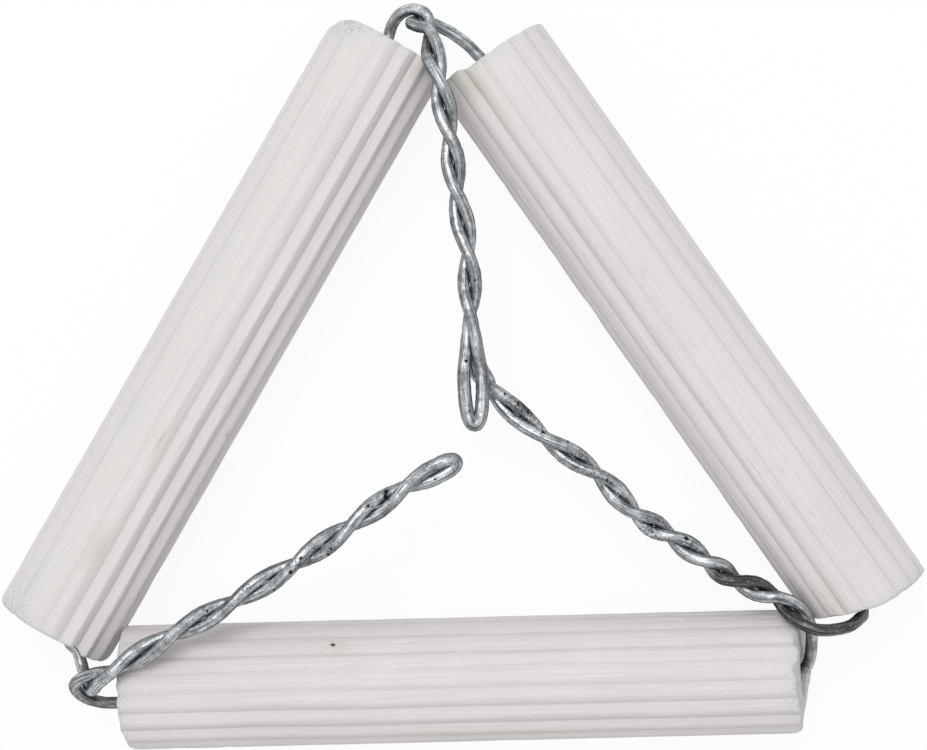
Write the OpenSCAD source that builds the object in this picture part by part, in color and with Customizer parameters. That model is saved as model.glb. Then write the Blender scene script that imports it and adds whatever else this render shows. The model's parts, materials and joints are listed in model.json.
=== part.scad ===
// Pipe clay triangle: three fluted clay tubes threaded on one galvanised steel wire.
// The wire runs through all three bores, and at each corner its two runs are twisted
// together into a tail that lies across the open middle.
// Millimetres, +Z up, the tubes lying on z = 0.

/* [Clay tubes] */
// Length of the left tube, along its axis
left_len = 60.4; // [58:0.1:60.6]
// Length of the right tube, along its axis
right_len = 59.7; // [58:0.1:60]
// Length of the bottom tube, along its axis
bottom_len = 60.9; // [59:0.1:61.2]
// Diameter over the ridges
tube_d = 11.2; // [10.6:0.1:11.2]
// Diameter of the bore
bore_d = 4.6; // [4.6:0.1:6]
// Flutes round each tube
flutes = 20; // [12:1:22]
// Depth of a flute
flute_depth = 0.4; // [0.2:0.05:0.5]
// Radius of a flute's hollow
flute_r = 0.9; // [0.6:0.05:0.9]
// Rounding of the outer edge at each end
end_round = 0.9; // [0.5:0.1:1.2]

/* [Wire] */
// Diameter of the wire
wire_d = 1.05; // [0.8:0.05:1.05]
// Distance between the two strands' centres in a tail
strand_gap = 1.16; // [1.16:0.01:1.2]
// Sides of the wire's section
wire_sides = 8; // [6:1:10]
// Rings for each half turn of the twist
twist_steps = 6; // [4:1:8]
// Longest step between rings where the wire bends round a corner
bend_step = 0.5; // [0.4:0.1:0.8]

/* [Hidden] */
$fn = 48;

clay = [0.88, 0.87, 0.85];
zinc = [0.60, 0.62, 0.64];

// Moves the whole part so that the middle of its outline stands over the origin
centre_shift = [-0.23, 0.08, 0];

// Tubes: middle of the axis, heading from the first end, and first flute from the top
left_mid = [-21.76, 3.34];
left_heading = 60.2;
left_phase = 13;
right_mid = [19.62, 4.06];
right_heading = -54.9;
right_phase = 12;
bottom_mid = [0.11, -27.36];
bottom_heading = 1.4;
bottom_phase = -1;
// Their ends are not quite square: the turn of each end face, seen from above and from
// the side, at the first end and at the far end
left_ends = [[-3, 0], [2, 0]];
right_ends = [[-6, 0], [-9, 0]];
bottom_ends = [[0, 0], [2, 13.5]];
// The wire has worn down the inner side of the right tube's lower end, and a corner of
// the bottom tube's far end is knocked off: where each cut starts, and its turn
wear_at = [29.6, -0.7];
wear_turn = 18;
knock_at = [31.1, -3.4];
knock_turn = 28;

tube_r = tube_d / 2;
flute_pitch = 360 / flutes;
flute_at = tube_r + flute_r - flute_depth;
// Half the angle that one flute's mouth takes from the ridge circle
flute_half = acos((tube_r * tube_r + flute_at * flute_at - flute_r * flute_r) / (2 * tube_r * flute_at));

// Tails: the places where the two strands cross, from the corner outwards. At the first
// the strand named first lies on top, and each span between two crossings is a half turn.
top_cross = [[-3.1, 30.5, 7.8], [-2.2, 25.9, 10.7], [-1.2, 21.0, 10.4], [-0.6, 16.1, 10.2],
             [0.4, 10.7, 10.0], [0.6, 5.4, 9.8]];
left_cross = [[-30.6, -25.9, 11.8], [-25.4, -22.7, 12.1], [-20.1, -19.8, 11.8],
              [-14.7, -16.5, 11.5], [-9.9, -13.2, 11.2], [-5.1, -9.8, 11.0]];
right_cross = [[27.7, -19.6, 8.6], [24.2, -18.2, 8.8], [21.6, -16.5, 8.6], [18.4, -14.3, 8.4],
               [15.3, -12.3, 8.2], [11.9, -8.8, 8.0], [7.3, -5.6, 7.9], [2.4, -1.1, 7.6],
               [0.8, 2.9, 7.4]];
// The first two tails end in a closed loop: its tip, its half width and its turn
top_tip = [1.0, -4.4, 9.6];
top_loop = 0.76;
top_turn = 90;
left_tip = [-0.7, -7.6, 10.8];
left_loop = 0.62;
left_turn = 75;
loop_steps = 8;
// The third tail ends in the wire's two cut ends, part of a half turn past a crossing
right_end = 7.4;

// Corners: points on the wire's centre line, from inside a bore out to the tail
top_from_left = [[-11.8, 20.9, 4.1], [-7.8, 28.6, 4.1], [-6.8, 30.7, 4.1], [-6.5, 31.6, 4.4],
                 [-5.8, 32.5, 5.0], [-4.6, 32.9, 5.7], [-3.5, 32.5, 6.1], [-3.0, 31.5, 6.4]];
top_from_right = [[8.7, 19.8, 4.0], [3.2, 27.1, 4.0], [1.6, 28.7, 4.1], [0.4, 29.9, 4.3],
                  [-1.0, 30.9, 4.5], [-2.4, 31.6, 4.7], [-3.8, 31.9, 5.0], [-4.7, 31.6, 6.3],
                  [-4.1, 31.1, 7.5]];
left_from_left = [[-31.4, -13.8, 4.3], [-35.2, -22.9, 5.3], [-35.5, -24.1, 5.4],
                  [-34.8, -24.9, 5.3], [-34.3, -26.3, 5.6], [-33.7, -27.4, 6.8],
                  [-32.9, -27.9, 8.9], [-31.8, -27.3, 11.2]];
left_from_bottom = [[-20.1, -28.2, 4.2], [-29.4, -29.5, 4.9], [-32.1, -29.6, 5.0],
                    [-33.2, -29.4, 5.2], [-34.2, -28.8, 6.2], [-34.6, -27.7, 7.9],
                    [-33.9, -26.9, 9.0], [-32.5, -26.3, 9.8]];
right_from_right = [[31.6, -12.8, 4.0], [35.4, -19.0, 4.3], [36.0, -21.3, 5.4],
                    [35.3, -21.8, 7.2], [34.2, -22.2, 9.0], [32.7, -22.4, 10.1],
                    [31.2, -22.4, 10.4], [30.0, -22.0, 10.3], [29.2, -21.5, 9.4],
                    [28.4, -20.7, 8.3]];
right_from_bottom = [[19.8, -27.1, 4.0], [28.4, -27.0, 4.0], [29.9, -27.1, 4.1],
                     [30.8, -26.6, 4.7], [31.15, -25.6, 5.6], [31.15, -24.3, 6.6],
                     [31.0, -22.9, 7.7], [30.4, -21.3, 8.6], [29.2, -20.1, 9.1]];

wire_r = wire_d / 2;
strand_r = strand_gap / 2;
// A span longer than this is a straight run through a bore
straight_span = 8;

// ---- Curves ----
function unit(v) = v / norm(v);
function last(p) = p[len(p) - 1];
function reversed(p) = [for (i = [len(p) - 1:-1:0]) p[i]];

// Point i of a list, carried on in a straight line past either end
function at(p, i) =
    i < 0 ? 2 * p[0] - p[1] : i >= len(p) ? 2 * last(p) - p[len(p) - 2] : p[i];

// Point of the smooth curve through a list, where whole numbers k fall on its points
function curve(p, k) =
    let (i = min(floor(k), len(p) - 2), t = k - i,
         a = at(p, i - 1), b = p[i], c = p[i + 1], d = at(p, i + 2))
    0.5 * (2 * b + (c - a) * t + (2 * a - 5 * b + 4 * c - d) * t * t
           + (3 * b - a - 3 * c + d) * t * t * t);

function heading(p, k) =
    unit(curve(p, min(k + 0.02, len(p) - 1)) - curve(p, max(k - 0.02, 0)));

// Direction square to t: a = 0 lies level on the left, a = 90 points up
function around(t, a) =
    let (left = unit(cross([0, 0, 1], t))) cos(a) * left + sin(a) * cross(t, left);

// ---- Wire ----
// One strand of a tail, from crossing 0 outwards; side is 1 for the strand on top there
function strand(cross_at, end, side) =
    [for (i = [0:round(end * twist_steps)]) let (k = i / twist_steps)
        curve(cross_at, k) + side * strand_r * around(heading(cross_at, k), 90 - 180 * k)];

// The closed loop at a tail's tip, from one strand round to the other
function loop(cross_at, tip, half, turn) =
    let (first = last(cross_at), t = unit(tip - first), centre = tip - half * t,
         a0 = 90 - 180 * (len(cross_at) - 1),
         mid = [for (i = [1:loop_steps]) first + (centre - first) * i / loop_steps],
         out = [for (i = [1:loop_steps]) let (u = i / loop_steps)
                (strand_r + (half - strand_r) * u * u * (3 - 2 * u))
                * around(t, a0 - turn * min(1, 2.5 * u))])
    concat(mid + out,
           [for (a = [36:36:144]) centre + cos(a) * last(out) + sin(a) * half * t],
           reversed(mid - out));

// Tangent at point i, no longer than the span that it serves
function pull(p, i, span) =
    let (m = (p[i + 1] - p[i - 1]) / 2) norm(m) > span ? m * span / norm(m) : m;

// Smooth run through the points of mid, from the end of before to the start of after
function bend(before, mid, after) =
    let (p = concat([before[len(before) - 2], last(before)], mid, [after[0], after[1]]))
    [for (i = [1:len(p) - 3])
        let (span = norm(p[i + 1] - p[i]),
             n = span > straight_span ? 1 : max(1, round(span / bend_step)),
             m = pull(p, i, span), q = pull(p, i + 1, span))
        for (j = [(i == 1 ? 1 : 0):n - 1]) let (t = j / n)
            (2 * t * t * t - 3 * t * t + 1) * p[i] + (t * t * t - 2 * t * t + t) * m
            + (3 * t * t - 2 * t * t * t) * p[i + 1] + (t * t * t - t * t) * q];

function wire_line() =
    let (right_dark = reversed(strand(right_cross, right_end, -1)),
         right_bright = strand(right_cross, right_end, 1),
         top_tail = concat(strand(top_cross, len(top_cross) - 1, 1),
                           loop(top_cross, top_tip, top_loop, top_turn),
                           reversed(strand(top_cross, len(top_cross) - 1, -1))),
         left_tail = concat(strand(left_cross, len(left_cross) - 1, 1),
                            loop(left_cross, left_tip, left_loop, left_turn),
                            reversed(strand(left_cross, len(left_cross) - 1, -1))))
    concat(right_dark,
           bend(right_dark, concat(reversed(right_from_right), top_from_right), top_tail),
           top_tail,
           bend(top_tail, concat(reversed(top_from_left), left_from_left), left_tail),
           left_tail,
           bend(left_tail, concat(reversed(left_from_bottom), right_from_bottom), right_bright),
           right_bright);

function tangent(p, i) = unit(p[min(i + 1, len(p) - 1)] - p[max(i - 1, 0)]);

// Round section carried along a line without turning about it
module sweep(p, r, sides) {
    n = len(p);
    t = [for (i = [0:n - 1]) tangent(p, i)];
    normals = [for (i = 0, v = around(t[0], 0); i < n;
                    i = i + 1, v = unit(v - (v * t[min(i, n - 1)]) * t[min(i, n - 1)])) v];
    points = [for (i = [0:n - 1], j = [0:sides - 1]) let (a = 360 * j / sides)
              p[i] + r * (cos(a) * normals[i] + sin(a) * cross(t[i], normals[i]))];
    skin = [for (i = [0:n - 2], j = [0:sides - 1])
            let (a = i * sides + j, b = i * sides + (j + 1) % sides)
            each [[a, a + sides, b], [b, a + sides, b + sides]]];
    polyhedron(points, concat(skin, [[for (j = [0:sides - 1]) j]],
                              [[for (j = [sides - 1:-1:0]) (n - 1) * sides + j]]));
}

// ---- Tubes ----
// Height of the axis when the tube lies on its lowest ridge or pair of ridges
function rest_height(phase) =
    let (m = (540 - phase) % flute_pitch, from_flute = min(m, flute_pitch - m))
    tube_r * cos(max(0, from_flute < flute_half ? flute_half - from_flute : 0));

// Tube along +X about its middle, with its first flute the angle phase from the top
module fluted_tube(length, phase, ends) {
    difference() {
        rotate([0, 90, 0]) cylinder(r = tube_r, h = length + 2 * tube_r, center = true);
        rotate([0, 90, 0]) for (i = [0:flutes - 1])
            rotate(180 + phase + i * flute_pitch) translate([flute_at, 0])
                cylinder(r = flute_r, h = 2 * length, center = true);
        rotate([0, 90, 0]) cylinder(d = bore_d, h = 2 * length, center = true);
        translate([-length / 2, 0, 0]) rotate([0, ends[0][1], 180 + ends[0][0]]) beyond_end();
        translate([length / 2, 0, 0]) rotate([0, -ends[1][1], ends[1][0]]) beyond_end();
    }
}

// Everything beyond a rounded end whose face stands at x = 0
module beyond_end() {
    rotate([0, 90, 0]) rotate_extrude() difference() {
        translate([0, -end_round]) square(2 * tube_d);
        translate([0, -end_round]) square([tube_r - end_round, end_round]);
        translate([tube_r - end_round, -end_round]) circle(end_round);
    }
}

// Everything beyond an upright plane through a point, turned towards the tube's right side
module beyond(point, turn) {
    translate([point.x, point.y, -tube_d]) rotate(-turn)
        translate([0, -tube_d, 0]) cube(2 * tube_d);
}

module place(mid, heading, phase) {
    translate(centre_shift + [mid.x, mid.y, rest_height(phase)])
        rotate([0, 0, heading]) children();
}

module left_tube() {
    color(clay) place(left_mid, left_heading, left_phase)
        fluted_tube(left_len, left_phase, left_ends);
}

module right_tube() {
    color(clay) place(right_mid, right_heading, right_phase) difference() {
        fluted_tube(right_len, right_phase, right_ends);
        beyond(wear_at, wear_turn);
    }
}

module bottom_tube() {
    color(clay) place(bottom_mid, bottom_heading, bottom_phase) difference() {
        fluted_tube(bottom_len, bottom_phase, bottom_ends);
        beyond(knock_at, knock_turn);
    }
}

module wire() {
    color(zinc) translate(centre_shift) sweep(wire_line(), wire_r, wire_sides);
}

left_tube();
right_tube();
bottom_tube();
wire();
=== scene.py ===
# %% [markdown]
# # Pipe clay triangle
# A pipe clay triangle holds a crucible over a burner. Three fluted tubes of unglazed white
# clay are threaded on one galvanised wire, and at each corner the two runs of wire are
# twisted into a tail that lies across the opening.
#
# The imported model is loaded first, and it never moves. It says where everything is, so the
# detailed pieces made below are put straight into its coordinates, in metres.

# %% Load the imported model
import json
import math

import bpy
import numpy as np
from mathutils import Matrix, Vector

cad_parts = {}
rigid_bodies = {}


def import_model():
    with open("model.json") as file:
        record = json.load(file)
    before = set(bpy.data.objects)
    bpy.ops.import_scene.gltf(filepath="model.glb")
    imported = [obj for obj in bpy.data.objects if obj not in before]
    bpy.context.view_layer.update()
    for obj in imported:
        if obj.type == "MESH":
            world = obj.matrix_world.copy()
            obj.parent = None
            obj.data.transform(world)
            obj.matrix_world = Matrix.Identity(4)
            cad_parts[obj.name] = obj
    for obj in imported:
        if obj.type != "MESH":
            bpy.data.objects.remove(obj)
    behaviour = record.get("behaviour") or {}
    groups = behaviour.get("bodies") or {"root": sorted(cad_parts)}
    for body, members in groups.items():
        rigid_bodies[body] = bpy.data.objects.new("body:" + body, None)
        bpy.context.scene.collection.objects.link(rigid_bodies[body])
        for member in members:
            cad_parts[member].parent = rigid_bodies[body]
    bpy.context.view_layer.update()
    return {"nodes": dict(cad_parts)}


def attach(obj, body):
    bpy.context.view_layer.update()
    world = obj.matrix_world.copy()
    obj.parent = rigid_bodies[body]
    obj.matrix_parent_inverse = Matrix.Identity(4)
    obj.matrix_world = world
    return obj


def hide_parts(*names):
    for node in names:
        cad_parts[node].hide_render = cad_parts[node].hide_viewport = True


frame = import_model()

MM = 0.001
print("nodes:", sorted(frame["nodes"]))

# %% [markdown]
# ## Camera
# The triangle is seen from straight above, at about 20 cm. From so near, what lies higher
# looks larger, so the tails on top of the tubes spread a little. A lens of 85 mm takes in
# the whole part with a narrow margin.
#
# Places below are in millimetres from the zero point of the part's drawing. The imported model
# has that drawing moved by SHIFT, to centre it, so the camera moves too.

# %% Camera straight above the triangle
SHIFT = (-0.23, 0.08)
CAMERA_HEIGHT = 203.6

camera_data = bpy.data.cameras.new("camera")
camera_data.sensor_width = 36
camera_data.lens = 85.4
camera_data.clip_start = 0.01
camera = bpy.data.objects.new("camera", camera_data)
camera.location = (SHIFT[0] * MM, SHIFT[1] * MM, CAMERA_HEIGHT * MM)
bpy.context.scene.collection.objects.link(camera)
bpy.context.scene.camera = camera
print("camera height in mm:", round(camera.location.z / MM, 1))

# %% [markdown]
# ## Helpers
# Colours are written as hex values, as on a paint chart, and turned to the linear values
# that the renderer works in. One small function adds a node, sets its values and wires its
# inputs, so that each material reads from top to bottom like a recipe.

# %% Colour and node helpers
def hex_colour(code):
    parts = [int(code[i:i + 2], 16) / 255 for i in (1, 3, 5)]
    return tuple(p / 12.92 if p <= 0.04045 else ((p + 0.055) / 1.055) ** 2.4 for p in parts) + (1,)


def add_node(tree, kind, links=(), **settings):
    """A node; `in_` settings go to its inputs, by name or number, and the rest to the node."""
    node = tree.nodes.new("ShaderNode" + kind)
    for name, value in settings.items():
        if name.startswith("in_"):
            key = name[3:]
            socket = node.inputs[int(key)] if key.isdigit() else node.inputs[key.replace("_", " ")]
            socket.default_value = value
        else:
            setattr(node, name, value)
    for source, socket in links:
        tree.links.new(source, node.inputs[socket])
    return node


def new_material(name):
    """An empty material and its node tree."""
    material = bpy.data.materials.new(name)
    material.use_nodes = True
    material.node_tree.nodes.clear()
    return material, material.node_tree


def piece_inputs(tree, keys):
    """What a material reads from its piece: the place in mm, and the stored numbers."""
    place = add_node(tree, "TexCoord").outputs["Object"]
    in_mm = add_node(tree, "VectorMath", [(place, 0)], operation="MULTIPLY", in_1=(1 / MM,) * 3)
    return in_mm.outputs["Vector"], {
        key: add_node(tree, "Attribute", attribute_name=key).outputs["Fac"] for key in keys}


print("clay white in linear light:", [round(v, 3) for v in hex_colour("#E2DEDC")[:3]])

# %% [markdown]
# ## Making a piece
# Tubes and wire are both made as plain tables of points and faces. That suits them better
# than modifiers, because each row and column can be placed by rule. The numbers stored at
# each point, such as how deep in a flute it lies, are attributes that a material can read.

# %% Piece from points and faces
def make_piece(name, points, faces, fields):
    """A smooth object from points in mm and faces, with a number at each point for each field."""
    mesh = bpy.data.meshes.new(name)
    mesh.from_pydata((points * MM).tolist(), [], faces)
    mesh.update()
    mesh.shade_smooth()
    for key, values in fields.items():
        attribute = mesh.attributes.new(key, "FLOAT", "POINT")
        attribute.data.foreach_set("value", np.asarray(values).astype(np.float32))
    piece = bpy.data.objects.new(name, mesh)
    bpy.context.scene.collection.objects.link(piece)
    triangles = sum(len(face) - 2 for face in faces)
    print(name, "has", triangles, "triangles, z from", round(points[:, 2].min(), 3), "to",
          round(points[:, 2].max(), 3), "mm")
    return piece


# %% [markdown]
# ## Unevenness
# Clay and dipped wire are never quite regular. A few sine waves with seeded phases give a
# smooth unevenness, the same on every run, that closes on itself round the tube.

# %% Smooth seeded unevenness
UNEVEN_PEAK = 1.6  # nearly all of the scaled sum of the waves stays below this


def uneven(seed, along, turn, size, waves=10, round_waves=5):
    """About -1 to 1, changing over `size` along the first direction; `turn` in radians."""
    rng = np.random.default_rng(seed)
    total = np.zeros(np.broadcast(along, turn).shape)
    for _ in range(waves):
        total += np.sin(along * rng.uniform(0.5, 1.6) * 2 * math.pi / size
                        + turn * rng.integers(-round_waves, round_waves + 1)
                        + rng.uniform(0, 2 * math.pi))
    return total / math.sqrt(waves) / UNEVEN_PEAK


def smooth_min(a, b, soft):
    """The lesser of two values, with the corner between them rounded."""
    return 0.5 * (a + b - np.sqrt((a - b) ** 2 + soft * soft))


sample = uneven(1, np.linspace(0, 60, 500), 0.0, 8)
print("unevenness runs from", round(float(sample.min()), 2), "to", round(float(sample.max()), 2))

# %% [markdown]
# ## The fluted tube
# Such tubes are extruded: soft clay is pushed through a star-shaped die round a rod, cut to
# length and fired. The die leaves V-shaped flutes, never quite evenly spaced, and handling
# wears some ridges to broad lands. A grid suits this better than a boolean model: columns
# lie exactly on each flute's bottom line and each ridge, so that both stay crisp.

# %% Columns of the grid round a tube
TUBE_R = 5.6
BORE_R = 2.3
FLUTE_DEPTH = 0.42
HALF_FLUTE = (0, 0.05, 0.15, 0.3, 0.5, 0.7, 0.85, 0.95)
HIDDEN_DEPTH = 0.9


def ring_columns(flutes):
    """Turn in degrees, share of the way to the ridge, and depth, for each column."""
    columns = []
    first_again = (flutes[0][0] + 360, flutes[0][1])
    for (low, depth), (high, next_depth) in zip(flutes, flutes[1:] + [first_again]):
        half = (high - low) / 2
        columns += [(low + half * f, f, depth) for f in HALF_FLUTE]
        columns += [(high - half * f, f, next_depth) for f in (1,) + HALF_FLUTE[:0:-1]]
    return np.array(columns).T[:, None, :]


def hidden_flutes(start, stop, count):
    """Regular flutes for the part of the tube that is out of sight."""
    return [(turn, HIDDEN_DEPTH) for turn in np.linspace(start, stop, count)]


print("columns for 19 flutes:", 19 * 2 * len(HALF_FLUTE))

# %% [markdown]
# ## Marks on the clay
# Each tube has its own chips, pits, tan stains and burnt specks, listed by place: how far
# along, how far round from the top, and how large. Chips move the surface, and stains and
# specks become attributes for the material.

# %% Chips and stains by place on the tube
def spots(marks, along, turn_deg):
    """Sum of soft spots: (mm along, degrees from the top, half length, half width, amount)."""
    total = np.zeros(np.broadcast(along, turn_deg).shape)
    for at_along, at_turn, half_len, half_wid, amount in marks:
        across = TUBE_R * np.radians((turn_deg - at_turn + 180) % 360 - 180)
        total += amount * np.exp(-((along - at_along) / half_len) ** 2 - (across / half_wid) ** 2)
    return total


def ridge_nicks(seed, flutes, length, count):
    """Small nicks on random ridges, longer along the tube than across it."""
    rng = np.random.default_rng(seed)
    ridges = [(a[0] + b[0]) / 2 for a, b in zip(flutes, flutes[1:])]
    return [(rng.uniform(1, length - 1), rng.choice(ridges), rng.uniform(0.2, 1.0), 0.16,
             rng.uniform(0.03, 0.09)) for _ in range(count)]


one_chip = spots([(10, 0, 0.5, 0.2, 0.1)], np.linspace(8, 12, 81), 0)
print("a chip 0.1 mm deep moves", int((one_chip > 0.01).sum()), "of 81 points in 4 mm")

# %% [markdown]
# ## Ends of a tube
# The tubes were cut by hand while soft, so no end is quite square. The wire has worn some to
# slopes, and their rims have crumbled. Each end is one or more flat cuts, blended where they
# meet. A cut is a point on it, a turn in plan and a tilt out of the upright. A lip is a
# stretch of the rim that stands out, or with a minus sign lies back.

# %% Cut planes and rims
PLANE_BLEND = 0.25


def end_line(planes, y, z):
    """Where the end face stands, for a face made of several cut planes."""
    x = None
    for (px, py), turn, tilt in planes:
        turn, tilt = math.radians(turn), math.radians(tilt)
        nx, ny = math.cos(tilt) * math.cos(turn), math.cos(tilt) * math.sin(turn)
        plane = px - (ny * (y - py) + math.sin(tilt) * z) / nx
        x = plane if x is None else smooth_min(x, plane, PLANE_BLEND)
    return x


def mirrored(planes, sign):
    """The first end (sign -1) is worked out as if it were a far end, and mirrored back."""
    return [((sign * px, py), turn, tilt) for (px, py), turn, tilt in planes]


def rim_line(tube, end, turn):
    """Where the rim lies along the tube at each turn in degrees; end 0 is the first."""
    sign, rad = 2 * end - 1, np.radians(turn)
    x = end_line(mirrored(tube["ends"][end], sign), sign * -np.sin(rad) * TUBE_R,
                 np.cos(rad) * TUBE_R)
    crumbled = np.clip(uneven(tube["seed"] + 8 + end, 0 * turn, rad, 5, 14, 30), 0, None)
    lip = sum(mm / 2 * (np.tanh((turn - start) / edge) - np.tanh((turn - stop) / edge))
              for start, stop, edge, mm in tube["lips"][end])
    return sign * (x - tube["jags"][end] * crumbled + lip)


lean = 2 * TUBE_R * math.tan(math.radians(9))
print("an end cut 9 degrees out of square leans by", round(lean, 2), "mm")

# %% [markdown]
# ## Outside of a tube
# The tube is made lying along X about its middle. Its outside is a stack of rows, close
# together at the worn rims and 0.3 mm apart between them. The flutes wander a little and
# vary in depth, as the die drags.

# %% Radius with flutes and worn edges
BODY_STEPS = 196
EDGE_ROUND = 0.5
EDGE_GAPS = EDGE_ROUND * 1.3 * (1 - np.cos(np.linspace(0, math.pi / 2, 11)))[:, None]
EDGE_ROWS = len(EDGE_GAPS)


def fluted_radius(seed, along, rad, share, depth):
    """Radius with V-shaped flutes, a fine crease in their bottoms and softened ridges."""
    groove = depth * (1 - share) ** (1 / np.clip(depth, 0.4, 1))
    ridge_wear = 0.02 * np.exp(-(1 - share) / 0.06)
    crease = 0.022 * np.exp(-(share / 0.3) ** 2) * np.clip(1.6 * depth, 0, 1)
    ripple = 0.016 * uneven(seed + 3, along, rad, 9, round_waves=9)
    return TUBE_R - FLUTE_DEPTH * groove - ridge_wear - crease + ripple


def worn_edge(seed, radius, rad, gaps):
    """The rows near a rim, held inside a rounded edge of uneven size."""
    wear = EDGE_ROUND * (1 + 0.3 * uneven(seed + 5, 0 * rad, rad, 5, 12, 12))
    inside = np.clip(1 - gaps / wear, 0, 1)
    limit = TUBE_R - wear + wear * np.sqrt(np.clip(1 - inside ** 2, 0, 1))
    return smooth_min(radius, limit, 0.05)


def outside_rows(tube):
    """Points of the outside, one row after the other, and how deep in a flute each lies."""
    turn, share, depth = ring_columns(tube["flutes"])
    seed = tube["seed"]
    first, far = rim_line(tube, 0, turn), rim_line(tube, 1, turn)
    low, high = first + EDGE_GAPS[-1], far - EDGE_GAPS[-1]
    body = np.linspace(0, 1, BODY_STEPS)[1:-1, None]
    x = np.concatenate([first + EDGE_GAPS, low + (high - low) * body, far - EDGE_GAPS[::-1]])

    along = x + tube["length"] / 2
    turn = turn + 0.5 * uneven(seed + 1, along, np.radians(turn), 34, round_waves=1)
    rad = np.radians(turn)
    depth = depth * (1 + 0.15 * uneven(seed + 2, along, rad, 16, round_waves=4))
    radius = fluted_radius(seed, along, rad, share, depth)
    for rows, gaps in ((slice(0, EDGE_ROWS), EDGE_GAPS),
                       (slice(-EDGE_ROWS, None), EDGE_GAPS[::-1])):
        radius[rows] = worn_edge(seed, radius[rows], rad[rows], gaps)
    radius = radius - spots(tube["chips"], along, turn)
    valley = np.exp(-(share / 0.5) ** 2) * np.clip(2 * depth, 0, 1)
    return np.stack([x, radius * -np.sin(rad), radius * np.cos(rad)], -1), valley


print("rows on the outside:", BODY_STEPS - 2 + 2 * EDGE_ROWS)

# %% [markdown]
# ## End faces and bore
# From the rim the rows go on across the end face, which is rough where the clay tore, over
# the edge of the bore and back through the bore to the other end. There they meet the first
# row again, which closes the skin.

# %% Rows of an end face
FACE_STEPS = 12
BORE_STEPS = 22
BORE_EDGE = 0.16
FACE_SINK = 0.03
FACE_ROUGH = 0.07


def end_rows(tube, end, rim):
    """Rows from the rim across the end face and over the edge of the bore."""
    sign = 2 * end - 1
    planes = mirrored(tube["ends"][end], sign)
    turn, rim_r = np.arctan2(-rim[:, 1], rim[:, 2]), np.hypot(rim[:, 1], rim[:, 2])
    side, up = -np.sin(turn), np.cos(turn)
    rows = []
    for f in np.linspace(0, 1, FACE_STEPS)[1:]:
        r = rim_r + (BORE_R + BORE_EDGE - rim_r) * f
        x = sign * end_line(planes, sign * side * r, up * r)
        rough = (FACE_ROUGH * uneven(tube["seed"] + 7, r * 3.0, turn, 4, round_waves=9)
                 * math.sin(math.pi * f))
        blend = (1 - f) ** 3
        x = x - sign * (FACE_SINK + rough) * (1 - blend) + (rim[:, 0] - x) * blend
        rows.append(np.stack([x, side * r, up * r], -1))
    face_x = rows[-1][:, 0]
    for bend in map(math.radians, (30, 60, 90)):
        r = BORE_R + BORE_EDGE * (1 - math.sin(bend))
        x = face_x - sign * BORE_EDGE * (1 - math.cos(bend))
        rows.append(np.stack([x, side * r, up * r], -1))
    return rows


def tube_grid(tube):
    """All rows of the closed grid, and how deep in a flute each point lies."""
    outside, valley = outside_rows(tube)
    far, first = end_rows(tube, 1, outside[-1]), end_rows(tube, 0, outside[0])
    bore = [far[-1] + (first[-1] - far[-1]) * f for f in np.linspace(0, 1, BORE_STEPS)[1:-1]]
    grid = np.array(list(outside) + far + bore + first[::-1])
    deep = np.zeros(grid.shape[:2])
    deep[:len(outside)] = valley
    return grid, deep


print("rows inside:", 2 * (FACE_STEPS - 1 + 3) + BORE_STEPS - 2)

# %% [markdown]
# ## Putting a tube in its place
# The finished grid is turned to the tube's heading and moved to its middle, as in the packed
# model, with the lowest ridges on the table. A number says how much the ends have greyed;
# patches of painted shade are added to the same number.

# %% Tube in its place
RIM_REACH = 1.6


def closed_quads(rows, columns):
    """Faces of a grid whose last row meets its first, and last column its first."""
    i, j = np.arange(rows)[:, None], np.arange(columns)[None, :]
    i2, j2 = (i + 1) % rows, (j + 1) % columns
    return np.stack([i * columns + j, i * columns + j2, i2 * columns + j2, i2 * columns + j],
                    -1).reshape(-1, 4)


def build_tube(name, middle, height, heading, **tube):
    grid, deep = tube_grid(tube)
    flat = grid.reshape(-1, 3)
    along = flat[:, 0] + tube["length"] / 2
    turn = np.degrees(np.arctan2(-flat[:, 1], flat[:, 2]))
    end_gap = np.clip(np.minimum(along, tube["length"] - along), 0, None)
    c, s = math.cos(math.radians(heading)), math.sin(math.radians(heading))
    placed = (np.stack([flat[:, 0] * c - flat[:, 1] * s, flat[:, 0] * s + flat[:, 1] * c,
                        flat[:, 2]], -1) + (middle[0] + SHIFT[0], middle[1] + SHIFT[1], height))
    return make_piece(name, placed, closed_quads(*grid.shape[:2]).tolist(), {
        "hollow": deep.reshape(-1), "along": along, "turn": turn,
        # the listed patches add greyed clay and, in places, painted shade to the greyed ends
        "rim": np.exp(-end_gap / RIM_REACH) + spots(tube["greys"], along, turn),
        "stain": spots(tube["stains"], along, turn), "speck": spots(tube["specks"], along, turn)})


print("a grid of 3 by 4 closes with", len(closed_quads(3, 4)), "faces")

# %% [markdown]
# ## Left tube
# Its outer flutes are worn shallow, down to fine lines, and its inner ones are deep and
# crisp. It has a row of chips on two of its ridges and faint tan stains. One corner of its
# upper end is worn quite round, and a lip stands out on the inner side of its lower end.

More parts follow.
